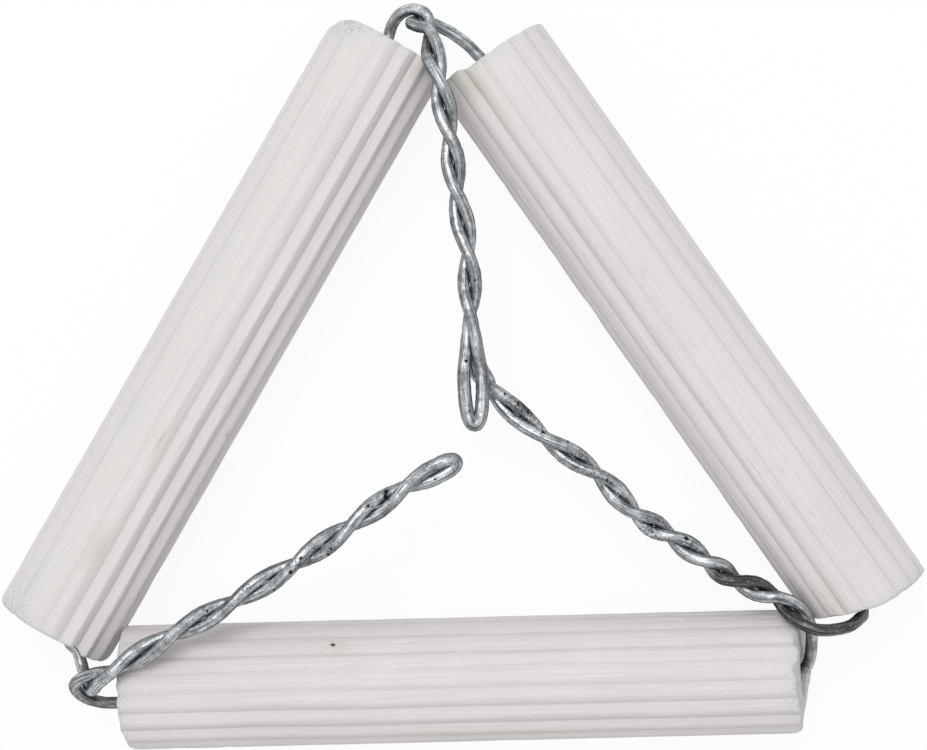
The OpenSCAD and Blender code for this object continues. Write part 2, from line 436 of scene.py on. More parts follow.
# %% Left tube
left_flutes = [(-64, 0.48), (-41, 0.45), (-22.5, 0.08), (-5.8, 0.35), (14.6, 0.9), (35.1, 1.1),
               (54, 0.95), (74, 0.75)] + hidden_flutes(97, 277, 11)
left_tube = build_tube(
    "left_clay_tube", (-21.76, 3.34), 5.5953, heading=60.2, length=60.4, flutes=left_flutes,
    ends=([((-30.1, 0), 1.2, 0)],
          [((30.42, 0), 0.5, 0), ((30.35, 3.9), 22, 0), ((29.85, 4.75), 52, 0)]),
    jags=(0.1, 0.1), lips=(((30, 38, 2, -0.25), (41, 84, 2.5, 0.48)), ()),
    chips=[(20.0, 5, 0.9, 0.12, 0.10), (23.0, 6, 0.5, 0.12, 0.08), (20.5, 24, 1.2, 0.12, 0.12),
           (24.0, 24, 0.5, 0.12, 0.08), (23.1, 64, 0.25, 0.2, 0.15), (59.4, -35, 0.3, 0.35, 0.25),
           (59.8, -48, 0.35, 0.3, 0.3), (59.6, -24, 0.25, 0.3, 0.2)]
    + ridge_nicks(12, left_flutes, 60, 60),
    stains=[(8.9, 3, 1.8, 0.7, 0.8), (19.8, 4, 1.6, 0.5, 0.6), (59.4, 45, 0.8, 0.6, 0.7)],
    # painted shade: the long band down the outer side darkens it as shade would
    greys=[(59.5, -50, 1.2, 1.6, 0.5), (30, -36, 60, 2.8, 0.75)],
    specks=[(23.1, 64, 0.16, 0.14, 0.7), (59.6, -35, 0.25, 0.2, 0.35), (59.9, -48, 0.2, 0.2, 0.4),
            (59.8, -22, 0.18, 0.16, 0.35)],
    seed=11)

# %% [markdown]
# ## Right tube
# The wire has worn the inner side of its lower end to a slope. A line of small pits runs
# along its top, where the die dragged a hard grain.

# %% Right tube
right_flutes = [(-64, 0.5), (-41, 0.6), (-20.5, 0.5), (-5, 0.2), (15, 0.35), (33.5, 0.65),
                (51.5, 0.32), (72, 0.3)] + hidden_flutes(91, 277, 11)
rng = np.random.default_rng(5)
drag_pits = [(along, 5 + rng.uniform(-2.0, 2.0), rng.uniform(0.18, 0.4), 0.13,
              rng.uniform(0.06, 0.16)) for along in np.sort(rng.uniform(22, 56, 26))]
right_tube = build_tube(
    "right_clay_tube", (19.62, 4.06), 5.5985, heading=-54.9, length=59.7, flutes=right_flutes,
    ends=([((-29.85, 0), 0, 0)], [((29.73, 0), -4.3, 0), ((29.52, -0.7), -18, 0)]),
    jags=(0.08, 0.06), lips=(((36, 80, 5, 0.45),), ()),
    chips=drag_pits + [(1.4, -58, 0.3, 0.2, 0.2), (18.1, -51, 0.25, 0.15, 0.12),
                       (0.4, -2, 0.8, 1.8, 0.12)] + ridge_nicks(13, right_flutes, 59, 60),
    stains=[(1.2, 34, 1.6, 1.4, 0.8), (4.0, 26, 2.0, 0.5, 0.4), (57.0, 36, 2.5, 0.8, 0.4)],
    greys=[(57.5, 66, 3.0, 2.4, 0.6)],
    specks=[(1.4, -58, 0.2, 0.15, 0.5)],
    seed=29)

# %% [markdown]
# ## Bottom tube
# Its far end is broken: the face slopes back towards the top, its edge is jagged and one
# corner is knocked off. A grain of iron in the clay has burnt to a brown-black speck.

# %% Bottom tube
bottom_flutes = ([(-77, 0.28), (-54, 0.32), (-34.5, 0.45), (-19, 0.3), (0.5, 0.5), (19.2, 0.7),
                  (38.7, 0.75), (57.2, 0.65)]
                 + hidden_flutes(77, 180, 7) + hidden_flutes(201, 264, 4))
bottom_tube = build_tube(
    "bottom_clay_tube", (0.11, -27.36), 5.5657, heading=1.4, length=60.9, flutes=bottom_flutes,
    ends=([((-30.62, 0), 0, 0), ((-30.62, 2.9), 10, 0)],
          [((30.55, 0), 2, 14.5), ((31.2, -3.4), -28, 0)]),
    jags=(0.15, 0.3),
    lips=((), ((-51, -41, 2, 0.2), (-32, -14, 3, 0.35), (22, 50, 4, 0.15))),
    chips=[(60.0, -40, 0.4, 0.7, 0.35), (60.1, -12, 0.35, 0.5, 0.3), (60.0, 12, 0.3, 0.4, 0.25),
           (59.6, -62, 0.5, 0.6, 0.3), (52.0, 25, 0.4, 0.2, 0.06)]
    + ridge_nicks(14, bottom_flutes, 60, 60),
    stains=[(19.4, -42, 1.0, 0.8, 0.5), (33.0, 56, 8.0, 0.8, 0.25)],
    # painted shade, partly greyed clay: the patch darkens the sloping broken end face
    greys=[(60.0, 0, 2.2, 5.0, 0.5)],
    specks=[(18.9, -43.5, 0.22, 0.17, 1.3), (4.7, 87, 1.8, 0.25, 0.7)],
    seed=47)

# %% [markdown]
# ## Pipe clay: patterns
# Pipe clay is a white kaolin body fired without glaze. It is matt and slightly open-grained:
# roughness near 0.9 and the usual index of 1.5 for fired clay. Noise, which has no seams,
# gives its patterns: a grain of 0.2 mm, the lines that the die drew along the tube, 0.2 mm
# or 2 degrees apart, and clouds about 6 mm across from the firing.

# %% Pipe clay patterns
CLAY_GRAIN = 0.2
CLAY_CLOUD = 6.25
DIE_LINE_TURN = 2
DIE_LINES_PER_MM = 0.09  # along the tube: a line runs on for about 11 mm

clay, tree = new_material("unglazed_pipe_clay")
in_mm, mark = piece_inputs(tree, ("hollow", "along", "turn", "rim", "stain", "speck"))
drawn = add_node(tree, "CombineXYZ", [(mark["along"], "X"), (mark["turn"], "Y")])
drag_at = add_node(tree, "VectorMath", [(drawn.outputs["Vector"], 0)], operation="MULTIPLY",
                   in_1=(DIE_LINES_PER_MM, 1 / DIE_LINE_TURN, 0))
drag = add_node(tree, "TexNoise", [(drag_at.outputs["Vector"], "Vector")], in_Scale=1.0,
                in_Detail=4.0, in_Roughness=0.6).outputs["Fac"]
cloud = add_node(tree, "TexNoise", [(in_mm, "Vector")], in_Scale=1 / CLAY_CLOUD,
                 in_Detail=3.0).outputs["Fac"]
grain = add_node(tree, "TexNoise", [(in_mm, "Vector")], in_Scale=1 / CLAY_GRAIN,
                 in_Detail=3.0, in_Roughness=0.7).outputs["Fac"]
print("clay grain", CLAY_GRAIN, "mm; die lines every",
      round(math.radians(DIE_LINE_TURN) * TUBE_R, 2), "mm")

# %% [markdown]
# ## Pipe clay: colours
# A warm off-white is darkened a little in the flute bottoms and a few patches by painted shade,
# and turns grey on the ends, which hands and hot iron touch. Crumbs of grime on the rims, tan
# stains and a few burnt specks follow. Each is a layer of colour over the ones before it.

# %% Pipe clay colours
drag_amount = add_node(tree, "MapRange", [(drag, "Value")], in_From_Min=0.35, in_From_Max=0.65,
                       in_To_Min=0.17, in_To_Max=0.0)
# painted shade: the flute bottoms are darkened to a thin grey line where shade gathers
flute_shade_amount = add_node(tree, "MapRange", [(mark["hollow"], "Value")], in_From_Min=0.1,
                       in_From_Max=1.0, in_To_Max=0.11)
# The rim number darkens the greyed ends and the patches of painted shade alike.
rim_grey_and_shade = add_node(tree, "Math", [(mark["rim"], 0), (cloud, 1)], operation="MULTIPLY")
rim_grey_and_shade_amount = add_node(tree, "MapRange", [(rim_grey_and_shade.outputs["Value"], "Value")],
                      in_From_Min=0.1, in_From_Max=0.6, in_To_Max=0.55)
grime = add_node(tree, "MapRange", [(grain, "Value")], in_From_Min=0.52, in_From_Max=0.42)
crumbs = add_node(tree, "Math", [(rim_grey_and_shade.outputs["Value"], 0), (grime.outputs["Result"], 1)],
                  operation="MULTIPLY")
crumb_amount = add_node(tree, "MapRange", [(crumbs.outputs["Value"], "Value")],
                        in_From_Min=0.36, in_From_Max=0.6, in_To_Max=0.35)
stain_amount = add_node(tree, "Math", [(mark["stain"], 0), (grain, 1)], operation="MULTIPLY")
speck_amount = add_node(tree, "MapRange", [(mark["speck"], "Value")], in_From_Min=0.12,
                        in_From_Max=0.9)

body = add_node(tree, "Mix", [(cloud, 0)], data_type="RGBA", in_6=hex_colour("#DEDAD9"),
                in_7=hex_colour("#E7E3E2"))
clay_layers = ((drag_amount, "#A9A5A3"), (flute_shade_amount, "#9D9896"), (rim_grey_and_shade_amount, "#D0D1CE"),
               (crumb_amount, "#8E8D87"), (stain_amount, "#C4BCA8"), (speck_amount, "#3A2A1C"))
colour = body.outputs[2]
for amount, code in clay_layers:
    colour = add_node(tree, "Mix", [(amount.outputs[0], 0), (colour, 6)], data_type="RGBA",
                      in_7=hex_colour(code)).outputs[2]
grain_level = add_node(tree, "MapRange", [(grain, "Value")], in_From_Min=0.3, in_From_Max=0.7,
                       in_To_Min=0.95, in_To_Max=1.03)
grained = add_node(tree, "VectorMath", [(colour, 0)], operation="SCALE")
tree.links.new(grain_level.outputs["Result"], grained.inputs["Scale"])
print("layers over the clay's body:", len(clay_layers))

# %% [markdown]
# ## Pipe clay: relief
# The die lines and the grain are less than a tenth of a millimetre deep, too shallow for
# mesh points. A bump node tilts the shading instead. The same clay goes on all three tubes.

# %% Pipe clay relief, and clay on the tubes
CLAY_RELIEF = 0.00008

height = add_node(tree, "Math", [(drag, 0), (grain, 1)], operation="ADD")
bump = add_node(tree, "Bump", [(height.outputs["Value"], "Height")], in_Strength=0.35,
                in_Distance=CLAY_RELIEF)
shader = add_node(tree, "BsdfPrincipled", [(grained.outputs["Vector"], "Base Color"),
                                           (bump.outputs["Normal"], "Normal")],
                  in_Roughness=0.9, in_IOR=1.5)
add_node(tree, "OutputMaterial", [(shader.outputs["BSDF"], "Surface")])

for tube, node in ((left_tube, "left_tube"), (right_tube, "right_tube"),
                   (bottom_tube, "bottom_tube")):
    tube.data.materials.append(clay)
    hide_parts(node)
    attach(tube, "root")
print("clay nodes:", len(clay.node_tree.nodes))

# %% [markdown]
# ## The wire's route
# One length of soft wire goes through all three tubes. At each corner it is taken out and
# back as a doubled tail, and the two strands are twisted. Two tails end in the small loop
# where the wire turns back, the third in the wire's two cut ends. The crossings and the
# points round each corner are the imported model's own, so the fine wire lies where the solid
# one is. Only the loops and the last few millimetres of the cut ends are drawn anew.
#
# A loop is its tip, half the gap between its strands, the degrees it turns on as it leaves
# the twist, and how far along it starts to open.

# %% Points of the route
WIRE_R = 0.54
STRAND_R = 0.55
top_cross = [[-3.1, 30.5, 7.8], [-2.2, 25.9, 10.7], [-1.2, 21.0, 10.4], [-0.6, 16.1, 10.2],
             [0.4, 10.7, 10.0], [0.6, 5.4, 9.8]]
left_cross = [[-30.6, -25.9, 11.8], [-25.4, -22.7, 12.1], [-20.1, -19.8, 11.8],
              [-14.7, -16.5, 11.5], [-9.9, -13.2, 11.2], [-5.1, -9.8, 11.0]]
right_cross = [[27.7, -19.6, 8.6], [24.2, -18.2, 8.8], [21.6, -16.5, 8.6], [18.4, -14.3, 8.4],
               [15.3, -12.3, 8.2], [11.9, -8.8, 8.0], [7.3, -5.6, 7.9], [2.4, -1.1, 7.6],
               [0.8, 2.9, 7.4]]
top_loop = ([1.0, -4.4, 9.6], 0.82, 90, 0.3)
left_loop = ([-0.7, -7.6, 10.8], 0.57, 70, 0.2)
RIGHT_CROSSINGS = 7
dark_end = [[1.75, -0.6, 8.2], [1.1, 0.1, 8.3], [0.8, 1.3, 8.3], [0.6, 2.9, 8.2],
            [0.6, 4.0, 8.1]]
bright_end = [[2.3, -0.5, 7.2], [1.95, 0.1, 7.25], [1.55, 0.8, 7.3]]
top_from_left = [[-11.8, 20.9, 4.1], [-7.8, 28.6, 4.1], [-6.8, 30.7, 4.1], [-6.5, 31.6, 4.4],
                 [-5.8, 32.5, 5.0], [-4.6, 32.9, 5.7], [-3.5, 32.5, 6.1], [-3.0, 31.5, 6.4]]
top_from_right = [[8.7, 19.8, 4.0], [3.2, 27.1, 4.0], [1.6, 28.7, 4.1], [0.4, 29.9, 4.3],
                  [-1.0, 30.9, 4.5], [-2.4, 31.6, 4.7], [-3.8, 31.9, 5.0], [-4.7, 31.6, 6.3],
                  [-4.1, 31.1, 7.5]]
left_from_left = [[-31.4, -13.8, 4.3], [-35.2, -22.9, 5.3], [-35.5, -24.1, 5.4],
                  [-34.8, -24.9, 5.3], [-34.3, -26.3, 5.6], [-33.7, -27.4, 6.8],
                  [-32.9, -27.9, 8.9], [-31.9, -26.95, 10.9]]
left_from_bottom = [[-20.1, -28.2, 4.2], [-29.4, -29.5, 4.9], [-32.1, -29.6, 5.0],
                    [-33.2, -29.4, 5.2], [-34.2, -28.8, 6.2], [-34.6, -27.7, 7.9],
                    [-33.9, -26.9, 9.0], [-32.5, -26.3, 9.8]]
right_from_right = [[31.6, -12.8, 4.0], [35.4, -19.0, 4.3], [36.0, -21.3, 5.4],
                    [35.3, -21.8, 7.2], [34.2, -22.2, 9.0], [32.7, -22.4, 10.1],
                    [31.2, -22.4, 10.4], [30.0, -22.0, 10.3], [29.2, -21.5, 9.4],
                    [28.4, -20.7, 8.3]]
right_from_bottom = [[19.8, -27.1, 4.0], [28.4, -27.0, 4.0], [29.9, -27.1, 4.1],
                     [30.8, -26.6, 4.7], [31.15, -25.6, 5.6], [31.15, -24.3, 6.6],
                     [31.0, -22.9, 7.7], [30.4, -21.3, 8.6], [29.2, -20.1, 9.1]]
print("crossings:", len(top_cross), len(left_cross), len(right_cross))

# %% [markdown]
# ## Twisting the tails
# A smooth curve goes through the crossings, and each strand circles it by half a turn from
# one crossing to the next, the two always on opposite sides. A helix would be simpler, but
# a tail twisted by hand is never that even.

# %% Curves of the twisted tails
def unit(v):
    return v / np.linalg.norm(v)


def knot(points, i):
    if i < 0:
        return 2 * points[0] - points[1]
    if i >= len(points):
        return 2 * points[-1] - points[-2]
    return points[i]


def curve(points, k):
    i = min(math.floor(k), len(points) - 2)
    t = k - i
    a, b, c, d = (knot(points, i + n) for n in (-1, 0, 1, 2))
    return 0.5 * (2 * b + (c - a) * t + (2 * a - 5 * b + 4 * c - d) * t ** 2
                  + (3 * b - a - 3 * c + d) * t ** 3)


def around(direction, degrees):
    """A direction square to the given one, so many degrees round it from its level side."""
    left = unit(np.cross((0, 0, 1), direction))
    a = math.radians(degrees)
    return math.cos(a) * left + math.sin(a) * np.cross(direction, left)


def strand(crossings, end, side, steps=6):
    p = np.array(crossings, float)
    out = []
    for i in range(round(end * steps) + 1):
        k = i / steps
        ahead = unit(curve(p, min(k + 0.02, len(p) - 1)) - curve(p, max(k - 0.02, 0)))
        out.append(curve(p, k) + side * STRAND_R * around(ahead, 90 - 180 * k))
    return out


def loop_end(crossings, loop, steps=16):
    """Out along one strand to the tip of a leaf-shaped loop, and back along the other."""
    tip, half, turn, open_from = np.array(loop[0], float), *loop[1:]
    first = np.array(crossings[-1], float)
    ahead = unit(tip - first)
    start = 90 - 180 * (len(crossings) - 1)
    mid, out = [], []
    for i in range(1, steps):
        v = math.sin(math.pi / 2 * i / steps)
        wide = min(1, max(0, v - open_from) / 0.3)
        half_gap = STRAND_R + (half - STRAND_R) * wide * wide * (3 - 2 * wide)
        mid.append(first + (tip - first) * v)
        out.append(half_gap * math.sqrt(1 - v ** 7)
                   * around(ahead, start - turn * min(1, v / 0.45)))
    return [m + o for m, o in zip(mid, out)] + [tip] + [m - o for m, o in zip(mid, out)][::-1]


def twisted_tail(crossings, loop):
    end = len(crossings) - 1
    return (strand(crossings, end, 1) + loop_end(crossings, loop)
            + strand(crossings, end, -1)[::-1])


dark = (strand(right_cross, RIGHT_CROSSINGS, -1) + dark_end)[::-1]
bright = strand(right_cross, RIGHT_CROSSINGS, 1) + bright_end
top_tail = twisted_tail(top_cross, top_loop)
left_tail = twisted_tail(left_cross, left_loop)
print("half turns in the top tail:", len(top_cross) - 1)

# %% [markdown]
# ## From tail to tail
# Between two tails the wire bends round a corner, runs straight through a bore and bends
# again. Each bend is a smooth run through the corner's points. Last, the whole line is
# refined to steps of 0.15 mm, so the wire looks bent and not jointed. Inside the bores,
# where nothing shows, 0.4 mm is enough.

# %% The whole line
STEP, BORE_STEP, BORE_SPAN = 0.15, 0.4, 8


def hermite(p, i, n):
    span = np.linalg.norm(p[i + 1] - p[i])
    pulls = []
    for k in (i, i + 1):
        m = (p[min(k + 1, len(p) - 1)] - p[max(k - 1, 0)]) / 2
        size = np.linalg.norm(m)
        pulls.append(m * span / size if size > span else m)
    t = (np.arange(n) / n)[:, None]
    return ((2 * t ** 3 - 3 * t ** 2 + 1) * p[i] + (t ** 3 - 2 * t ** 2 + t) * pulls[0]
            + (3 * t ** 2 - 2 * t ** 3) * p[i + 1] + (t ** 3 - t ** 2) * pulls[1])


def bend(before, middle, after):
    p = [before[-2], before[-1]] + [np.array(m, float) for m in middle] + [after[0], after[1]]
    out = []
    for i in range(1, len(p) - 2):
        span = np.linalg.norm(p[i + 1] - p[i])
        n = 1 if span > BORE_SPAN else max(1, int(span / 0.5 + 0.5))
        out += list(hermite(p, i, n))[(1 if i == 1 else 0):]
    return out


line = (dark + bend(dark, right_from_right[::-1] + top_from_right, top_tail) + top_tail
        + bend(top_tail, top_from_left[::-1] + left_from_left, left_tail) + left_tail
        + bend(left_tail, left_from_bottom[::-1] + right_from_bottom, bright) + bright)
line = [np.array(p) + (SHIFT[0], SHIFT[1], 0) for p in line]
runs = []
for i in range(len(line) - 1):
    span = np.linalg.norm(line[i + 1] - line[i])
    step = BORE_STEP if span > BORE_SPAN else STEP
    runs.append(hermite(line, i, max(1, round(span / step))))
fine_line = np.concatenate(runs + [[line[-1]]])
lengths = np.concatenate([[0], np.cumsum(np.linalg.norm(np.diff(fine_line, axis=0), axis=1))])
print("route of", len(fine_line), "points,", round(float(lengths[-1]), 1), "mm of wire")

# %% [markdown]
# ## Carrying a round section along the line
# A bevelled curve would give a wire at once, but couldn't be dented. Instead a ring of
# points is carried along the line without turning about it, so the grid has no twists.

# %% Which way the wire's surface faces
WIRE_SIDES = 28


def carried_across(ahead):
    across = around(ahead[0], 0)
    carried = []
    for t in ahead:
        across = unit(across - np.dot(across, t) * t)
        carried.append(across)
    carried = np.array(carried)
    return carried, np.cross(ahead, carried)


def nearest_length(x, y, low=0, high=math.inf):
    """Length along the wire of its point nearest to a place in plan, between two lengths."""
    gaps = np.hypot(fine_line[:, 0] - (x + SHIFT[0]), fine_line[:, 1] - (y + SHIFT[1]))
    gaps[(lengths < low) | (lengths > high)] = math.inf
    return float(lengths[np.argmin(gaps)])


ahead = np.gradient(fine_line, axis=0)
ahead /= np.linalg.norm(ahead, axis=1)[:, None]
across, second = carried_across(ahead)
angle = np.linspace(0, 2 * math.pi, WIRE_SIDES, endpoint=False)[None, :]
outward = (np.cos(angle)[..., None] * across[:, None, :]
           + np.sin(angle)[..., None] * second[:, None, :])
print("rings:", len(outward), "of", WIRE_SIDES, "points; the top loop turns back at",
      round(nearest_length(*top_loop[0][:2]), 1), "mm")

# %% [markdown]
# ## The wire's surface
# The radius is uneven by a few hundredths of a millimetre, as a dipped coat is, and pliers
# left small dents. Where the wire was pressed back on itself, at the tip of each loop, it
# has spread and is up to a fifth thicker.

# %% Uneven radius and dents
DENTS = 150
DENT_DEPTH, DENT_HALF_LENGTH, DENT_HALF_TURN = (0.02, 0.06), (0.15, 0.5), (0.25, 0.5)

at_length = lengths[:, None]
radius = (WIRE_R + 0.014 * uneven(61, at_length, angle, 2.2, 14, 3)
          + 0.012 * uneven(62, at_length, angle, 0.9, 14, 4))
rng = np.random.default_rng(63)
for _ in range(DENTS):
    dent_at, dent_turn = rng.uniform(0, lengths[-1]), rng.uniform(0, 2 * math.pi)
    depth = rng.uniform(*DENT_DEPTH)
    half_length, half_turn = rng.uniform(*DENT_HALF_LENGTH), rng.uniform(*DENT_HALF_TURN)
    away = (angle - dent_turn + math.pi) % (2 * math.pi) - math.pi
    radius = radius - depth * np.exp(-((at_length - dent_at) / half_length) ** 2
                                     - (away / half_turn) ** 2)
for (tip, *_), reach, spread in ((top_loop, 6, 0.16), (left_loop, 4, 0.2)):
    tip_at = nearest_length(tip[0], tip[1])
    radius = radius * (1 + spread * np.exp(-((at_length - tip_at) / reach) ** 2))
ring = fine_line[:, None, :] + radius[..., None] * outward
print("wire from", round(2 * radius.min(), 2), "to", round(2 * radius.max(), 2), "mm thick")

# %% [markdown]
# ## Faces and cut ends
# The rings are joined by quads. The nippers left each cut end slightly domed, so three
# smaller rings and a middle point close it.

# %% Faces of the wire
DOME_RINGS = 3
DOME_HEIGHT = 0.12
DOME_TIP = 0.125


def add_dome(points, faces, at, sign):
    """Close the cut end at ring `at`; sign is 1 at the wire's last ring and -1 at its first."""
    previous = np.arange(WIRE_SIDES) + at % len(ring) * WIRE_SIDES
    centre = fine_line[at]
    for k in range(1, DOME_RINGS + 1):
        share = k / (DOME_RINGS + 1) * math.pi / 2
        current = np.arange(WIRE_SIDES) + sum(map(len, points))
        points.append(centre + (ring[at] - centre) * math.cos(share)
                      + sign * (DOME_HEIGHT * math.sin(share)) * ahead[at])
        quads = np.stack([previous, np.roll(previous, -1), np.roll(current, -1), current], -1)
        faces += quads[:, ::sign].tolist()
        previous = current
    tip = np.full(WIRE_SIDES, sum(map(len, points)))
    points.append((centre + sign * DOME_TIP * ahead[at])[None, :])
    faces += np.stack([previous, np.roll(previous, -1), tip], -1)[:, ::sign].tolist()


i, j = np.arange(len(ring) - 1)[:, None] * WIRE_SIDES, np.arange(WIRE_SIDES)[None, :]
j2 = (j + 1) % WIRE_SIDES
wire_faces = np.stack([i + j, i + j2, i + WIRE_SIDES + j2, i + WIRE_SIDES + j],
                      -1).reshape(-1, 4).tolist()
wire_points = [ring.reshape(-1, 3)]
add_dome(wire_points, wire_faces, 0, -1)
add_dome(wire_points, wire_faces, -1, 1)
wire_points = np.concatenate(wire_points)
dome_points = len(wire_points) - ring[..., 0].size
print("points:", len(wire_points), "of them on the two domes:", dome_points)

# %% [markdown]
# ## Heat and wear along the wire
# Each kind of mark becomes an attribute. The flame has burnt the zinc off one strand at the
# lower right corner, and hot clay has scorched the wire at the mouths of three bores. Single
# pits, and patches where the zinc has flaked, are listed by place in plan and size. They lie
# on the upper side only.

# %% Burnt, scorched, pitted and worn places
SHADE_EDGE, SHADE_SOFT = 0.62, 0.45
BURN_FROM, BURN_TO = (21.6, -16.5, 0, 60), (31.6, -12.8, 20, 90)
BURN_PAST, BURN_SOFT = (1.0, 4), (0.9, 1.0)  # mm past the two points, and softness
SCORCH_REACH = 8.0
BORE_MOUTHS = (((31.6, -12.8, 20, 120), 0.35), ((-31.4, -13.8, 150, 330), 0.55),
               ((-29.4, -29.5, 250, 420), 0.6))
WIRE_PITS = [
    (-14.14, -15.92, 0.17), (-15.01, -17.14, 0.2), (-16.49, -18.71, 0.13),
    (-11.8, -15.68, 0.16), (-11.54, -15.16, 0.14), (-10.93, -15.42, 0.12),
    (-22.29, -20.51, 0.14), (-8.32, -11.42, 0.16), (-2.49, -9.09, 0.13), (-6.75, -10.2, 0.22),
    (-6.84, -10.63, 0.2), (7.05, -5.05, 0.15), (9.26, -5.94, 0.12), (12.75, -9.3, 0.14),
    (13.06, -9.56, 0.12), (1.01, 8.33, 0.12), (0.22, 1.23, 0.17), (0.48, -3.17, 0.12),
    (15.62, -13.72, 0.14), (16.95, -14.25, 0.12), (19.68, -14.42, 0.2), (3.68, -1.69, 0.14),
    (4.84, -2.48, 0.16), (5.72, -3.28, 0.14)]
WORN_PATCHES = [
    (-12.67, -15.94, 0.9), (-11.11, -15.33, 0.7), (-8.32, -11.59, 0.8), (5.01, -2.66, 1.4),
    (6.08, -3.64, 1), (10.32, -7.53, 1.2), (12.09, -8.42, 1), (16.51, -13.98, 1.4),
    (19.86, -14.6, 1), (7.22, -4.88, 0.8), (-14.23, -16.53, 0.8), (-18.58, -18.71, 0.8)]
MARK_REACH = 0.3  # a mark reaches this far in plan from its place
MARK_DROP = 0.6   # and this far down from the highest point there
FACING_UP = 0.2

up = np.concatenate([outward[..., 2].reshape(-1), np.zeros(dome_points)])
# painted shade: this number darkens the wire's flanks and underside
down = np.clip((SHADE_EDGE - outward[..., 2].reshape(-1)) / SHADE_SOFT, 0, 1)
down = np.concatenate([down, np.full(dome_points, 0.5)])
along = np.concatenate([np.repeat(lengths, WIRE_SIDES),
                        np.repeat(lengths[[0, -1]], dome_points // 2)])
burn_from, burn_to = nearest_length(*BURN_FROM), nearest_length(*BURN_TO)
burnt = (1 / (1 + np.exp(-(along - burn_from - BURN_PAST[0]) / BURN_SOFT[0]))
         / (1 + np.exp((along - burn_to - BURN_PAST[1]) / BURN_SOFT[1])))
scorch = sum(amount * np.exp(-((along - nearest_length(*mouth)) / SCORCH_REACH) ** 2)
             for mouth, amount in BORE_MOUTHS)


def marks_from_above(marks):
    """Soft marks on the upper side of whichever strand is on top at each place."""
    total = np.zeros(len(wire_points))
    for x, y, size in marks:
        gap = ((wire_points[:, 0] - x - SHIFT[0]) ** 2
               + (wire_points[:, 1] - y - SHIFT[1]) ** 2)
        near = (up > FACING_UP) & (gap < MARK_REACH ** 2)
        if near.any():
            lowest = wire_points[near, 2].max() - MARK_DROP
            total += np.where((up > FACING_UP) & (wire_points[:, 2] > lowest),
                              np.exp(-gap / size ** 2), 0)
    return total


print("burnt from", round(burn_from, 1), "to", round(burn_to, 1), "mm along the wire")

# %% [markdown]
# ## The wire as a piece
# The attributes go on with the mesh. Two of them, round_x and round_y, say where on its ring
# a point is, so that the drawn lines in the zinc follow the wire.

# %% Wire mesh
dome_zeros = np.zeros(dome_points)
wire = make_piece("galvanised_wire", wire_points, wire_faces, {
    "down": down, "along": along, "burnt": burnt, "scorch": scorch,
    "pit": marks_from_above(WIRE_PITS), "worn": marks_from_above(WORN_PATCHES),
    "round_x": np.concatenate([np.tile(np.cos(angle[0]), len(ring)), dome_zeros]),
    "round_y": np.concatenate([np.tile(np.sin(angle[0]), len(ring)), dome_zeros])})

# %% [markdown]
# ## Galvanised wire: patterns
# Soft iron wire is drawn through a die and then through a bath of zinc. Fresh zinc is
# bright; after some heating it is a mottled blue-grey with dull and bright patches. Its
# mottle is about 1.1 mm and its grain about 0.2 mm. Fine drawn lines, about 0.2 mm apart,
# run along the wire for 3 mm or so. It is a metal, so it keeps the default index and its
# colour is the colour of its reflections.

# %% Galvanised wire patterns
MOTTLES_PER_MM = 0.9
GRAINS_PER_MM = 5.5
DRAWN_LINES = (0.3, 3.0, 3.0)  # per mm along the wire, and per radius across it

zinc_skin, tree = new_material("heated_galvanised_zinc")
in_mm, mark = piece_inputs(tree, ("down", "along", "burnt", "scorch", "pit", "worn",
                                  "round_x", "round_y"))
lengthwise = add_node(tree, "CombineXYZ", [(mark["along"], "X"), (mark["round_x"], "Y"),
                                           (mark["round_y"], "Z")])
drawn_at = add_node(tree, "VectorMath", [(lengthwise.outputs["Vector"], 0)],
                    operation="MULTIPLY", in_1=DRAWN_LINES)
drawn = add_node(tree, "TexNoise", [(drawn_at.outputs["Vector"], "Vector")], in_Scale=1.0,
                 in_Detail=3.0, in_Roughness=0.6).outputs["Fac"]
mottle = add_node(tree, "TexNoise", [(in_mm, "Vector")], in_Scale=MOTTLES_PER_MM,
                  in_Detail=5.0, in_Roughness=0.65).outputs["Fac"]
grain = add_node(tree, "TexNoise", [(in_mm, "Vector")], in_Scale=GRAINS_PER_MM,
                 in_Detail=4.0, in_Roughness=0.75).outputs["Fac"]
print("zinc mottle", round(1 / MOTTLES_PER_MM, 1), "mm, grain", round(1 / GRAINS_PER_MM, 2), "mm")

# %% [markdown]
# ## Galvanised wire: sound zinc
# The mottle picks a grey between dull and bright, and the grain and the drawn lines darken
# or lighten it. The lighter drawn lines are partly painted highlight, streaks along the wire.

# %% Sound zinc
zinc = add_node(tree, "ValToRGB", [(mottle, "Fac")])
dull, bright_patch = zinc.color_ramp.elements
dull.position, dull.color = 0.36, hex_colour("#8F9498")
bright_patch.position, bright_patch.color = 0.62, hex_colour("#D0D4D7")
zinc.color_ramp.elements.new(0.5).color = hex_colour("#B6BBBF")
grain_level = add_node(tree, "MapRange", [(grain, "Value")], in_From_Min=0.3, in_From_Max=0.7,
                       in_To_Min=0.6, in_To_Max=1.3)
# partly painted highlight: the drawn lines lighten the zinc in streaks along the wire, as well as
# darken it
drawn_line_and_highlight_level = add_node(tree, "MapRange", [(drawn, "Value")], in_From_Min=0.38, in_From_Max=0.62,
                      in_To_Min=0.5, in_To_Max=1.45)
colour = zinc.outputs["Color"]
for level in (grain_level, drawn_line_and_highlight_level):
    scaled = add_node(tree, "VectorMath", [(colour, 0)], operation="SCALE")
    tree.links.new(level.outputs["Result"], scaled.inputs["Scale"])
    colour = scaled.outputs["Vector"]
print("zinc greys:", len(zinc.color_ramp.elements))
